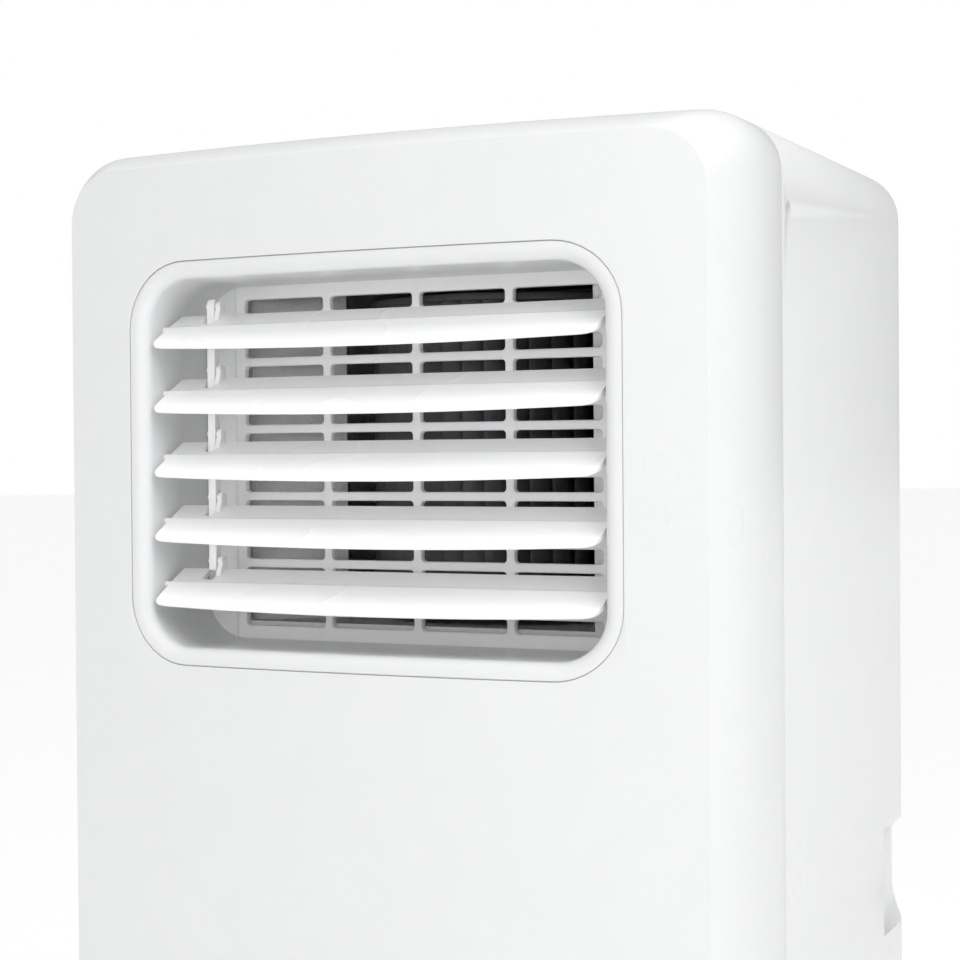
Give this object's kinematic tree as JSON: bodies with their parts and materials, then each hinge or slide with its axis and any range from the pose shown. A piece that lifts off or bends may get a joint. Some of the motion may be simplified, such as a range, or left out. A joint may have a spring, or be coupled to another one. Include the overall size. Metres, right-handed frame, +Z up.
{
  "type": "portable air conditioner",
  "caption": "Compact upright room air conditioner on casters, with a louvred front outlet, rear intakes and a round exhaust collar for a window hose.",
  "frame": {"origin": "middle of the floor plane under the object, where the caster wheels touch down", "axes": "+Z up, -Y towards the front outlet, +X to the right seen from the front"},
  "size_m": [0.31, 0.28, 0.692],
  "materials": {
    "casing": "satin white moulded plastic",
    "louvre": "satin white moulded plastic",
    "grille": "satin light grey-white moulded plastic",
    "control_plate": "gloss light grey plate",
    "button": "satin white",
    "display": "gloss smoked window",
    "base": "matte dark grey moulded plastic",
    "fan": "matte dark grey moulded plastic",
    "foam": "light grey expanded foam",
    "screen": "fine dark mesh in a thin frame",
    "motor": "satin grey pressed steel",
    "coil": "bare aluminium fins",
    "compressor": "satin black paint",
    "copper": "bare copper tube",
    "rubber": "matte black rubber",
    "caster": "satin black plastic",
    "board": "green circuit board",
    "can": "bright metal can",
    "screw": "zinc plated"
  },
  "bodies": {
    "housing": {"front_panel": "casing", "rear_casing": "casing", "outlet_trim": "casing", "lower_intake_grille": "casing", "exhaust_collar": "casing", "cord_gland": "casing", "drain_spout": "casing", "outlet_grille": "grille", "control_panel": "control_plate", "display_window": "display", "base_pan": "base", "drip_tray": "base", "control_box": "base", "scroll_lid": "base", "exhaust_scroll": "fan", "blower_scroll": "foam", "blower_motor": "motor", "exhaust_motor": "motor", "evaporator_coil": "coil", "condenser_coil": "coil", "compressor": "compressor", "accumulator": "compressor", "suction_pipe": "copper", "discharge_pipe": "copper", "liquid_pipe": "copper", "compressor_foot_1": "rubber", "compressor_foot_2": "rubber", "compressor_foot_3": "rubber", "display_board": "board", "main_board": "board", "capacitor": "can", "side_screw_left": "screw", "side_screw_right": "screw"},
    "louvre_1": {"louvre_1": "louvre"},
    "louvre_2": {"louvre_2": "louvre"},
    "louvre_3": {"louvre_3": "louvre"},
    "louvre_4": {"louvre_4": "louvre"},
    "louvre_5": {"louvre_5": "louvre"},
    "louvre_link": {"louvre_link": "louvre"},
    "blower_wheel": {"blower_wheel": "fan"},
    "exhaust_wheel": {"exhaust_wheel": "fan"},
    "button_1": {"button_1": "button"},
    "button_2": {"button_2": "button"},
    "button_3": {"button_3": "button"},
    "button_4": {"button_4": "button"},
    "button_5": {"button_5": "button"},
    "button_6": {"button_6": "button"},
    "filter_door": {"upper_intake_grille": "casing", "filter_screen": "screen"},
    "drain_plug": {"drain_plug": "rubber"},
    "caster_1": {"caster_fork_1": "caster"},
    "caster_wheel_1": {"caster_wheel_1": "rubber"},
    "caster_2": {"caster_fork_2": "caster"},
    "caster_wheel_2": {"caster_wheel_2": "rubber"},
    "caster_3": {"caster_fork_3": "caster"},
    "caster_wheel_3": {"caster_wheel_3": "rubber"},
    "caster_4": {"caster_fork_4": "caster"},
    "caster_wheel_4": {"caster_wheel_4": "rubber"}
  },
  "joints": [
    {"name": "louvre_1_tilt", "type": "hinge", "parent": "housing", "child": "louvre_1", "pos_m": [0, -0.12, 0.6132], "axis": [1, 0, 0], "range_deg": [-50, 10]},
    {"name": "louvre_2_tilt", "type": "hinge", "parent": "housing", "child": "louvre_2", "pos_m": [0, -0.12, 0.5861], "axis": [1, 0, 0], "range_deg": [-50, 10]},
    {"name": "louvre_3_tilt", "type": "hinge", "parent": "housing", "child": "louvre_3", "pos_m": [0, -0.12, 0.559], "axis": [1, 0, 0], "range_deg": [-50, 10]},
    {"name": "louvre_4_tilt", "type": "hinge", "parent": "housing", "child": "louvre_4", "pos_m": [0, -0.12, 0.5319], "axis": [1, 0, 0], "range_deg": [-50, 10]},
    {"name": "louvre_5_tilt", "type": "hinge", "parent": "housing", "child": "louvre_5", "pos_m": [0, -0.12, 0.5048], "axis": [1, 0, 0], "range_deg": [-50, 10]},
    {"name": "louvre_link_pivot", "type": "hinge", "parent": "louvre_1", "child": "louvre_link", "pos_m": [-0.0843, -0.112, 0.6232], "axis": [1, 0, 0], "range_deg": [-10, 50]},
    {"name": "blower_spin", "type": "hinge", "parent": "housing", "child": "blower_wheel", "pos_m": [0.012, -0.0075, 0.559], "axis": [0, 0, 1], "continuous": true},
    {"name": "exhaust_spin", "type": "hinge", "parent": "housing", "child": "exhaust_wheel", "pos_m": [-0.03, 0.0565, 0.17], "axis": [0, 1, 0], "continuous": true},
    {"name": "button_1_press", "type": "slide", "parent": "housing", "child": "button_1", "axis": [0, 0, -1], "range_m": [0, 0.001], "stiffness_N_per_m": 300, "springref_m": -0.001},
    {"name": "button_2_press", "type": "slide", "parent": "housing", "child": "button_2", "axis": [0, 0, -1], "range_m": [0, 0.001], "stiffness_N_per_m": 300, "springref_m": -0.001},
    {"name": "button_3_press", "type": "slide", "parent": "housing", "child": "button_3", "axis": [0, 0, -1], "range_m": [0, 0.001], "stiffness_N_per_m": 300, "springref_m": -0.001},
    {"name": "button_4_press", "type": "slide", "parent": "housing", "child": "button_4", "axis": [0, 0, -1], "range_m": [0, 0.001], "stiffness_N_per_m": 300, "springref_m": -0.001},
    {"name": "button_5_press", "type": "slide", "parent": "housing", "child": "button_5", "axis": [0, 0, -1], "range_m": [0, 0.001], "stiffness_N_per_m": 300, "springref_m": -0.001},
    {"name": "button_6_press", "type": "slide", "parent": "housing", "child": "button_6", "axis": [0, 0, -1], "range_m": [0, 0.001], "stiffness_N_per_m": 300, "springref_m": -0.001},
    {"name": "filter_door_pull", "type": "slide", "parent": "housing", "child": "filter_door", "axis": [0, 1, 0], "range_m": [0, 0.05]},
    {"name": "drain_plug_pull", "type": "slide", "parent": "housing", "child": "drain_plug", "axis": [0, 1, 0], "range_m": [0, 0.02]},
    {"name": "caster_1_swivel", "type": "hinge", "parent": "housing", "child": "caster_1", "pos_m": [-0.113, -0.09, 0.03], "axis": [0, 0, 1], "continuous": true},
    {"name": "caster_wheel_1_roll", "type": "hinge", "parent": "caster_1", "child": "caster_wheel_1", "pos_m": [-0.113, -0.083, 0.014], "axis": [1, 0, 0], "continuous": true},
    {"name": "caster_2_swivel", "type": "hinge", "parent": "housing", "child": "caster_2", "pos_m": [0.113, -0.09, 0.03], "axis": [0, 0, 1], "continuous": true},
    {"name": "caster_wheel_2_roll", "type": "hinge", "parent": "caster_2", "child": "caster_wheel_2", "pos_m": [0.113, -0.083, 0.014], "axis": [1, 0, 0], "continuous": true},
    {"name": "caster_3_swivel", "type": "hinge", "parent": "housing", "child": "caster_3", "pos_m": [-0.113, 0.09, 0.03], "axis": [0, 0, 1], "continuous": true},
    {"name": "caster_wheel_3_roll", "type": "hinge", "parent": "caster_3", "child": "caster_wheel_3", "pos_m": [-0.113, 0.097, 0.014], "axis": [1, 0, 0], "continuous": true},
    {"name": "caster_4_swivel", "type": "hinge", "parent": "housing", "child": "caster_4", "pos_m": [0.113, 0.09, 0.03], "axis": [0, 0, 1], "continuous": true},
    {"name": "caster_wheel_4_roll", "type": "hinge", "parent": "caster_4", "child": "caster_wheel_4", "pos_m": [0.113, 0.097, 0.014], "axis": [1, 0, 0], "continuous": true}
  ],
  "couplings": [
    {"joint": "louvre_2_tilt", "follows": "louvre_1_tilt", "ratio": 1},
    {"joint": "louvre_3_tilt", "follows": "louvre_1_tilt", "ratio": 1},
    {"joint": "louvre_4_tilt", "follows": "louvre_1_tilt", "ratio": 1},
    {"joint": "louvre_5_tilt", "follows": "louvre_1_tilt", "ratio": 1},
    {"joint": "louvre_link_pivot", "follows": "louvre_1_tilt", "ratio": -1}
  ]
}
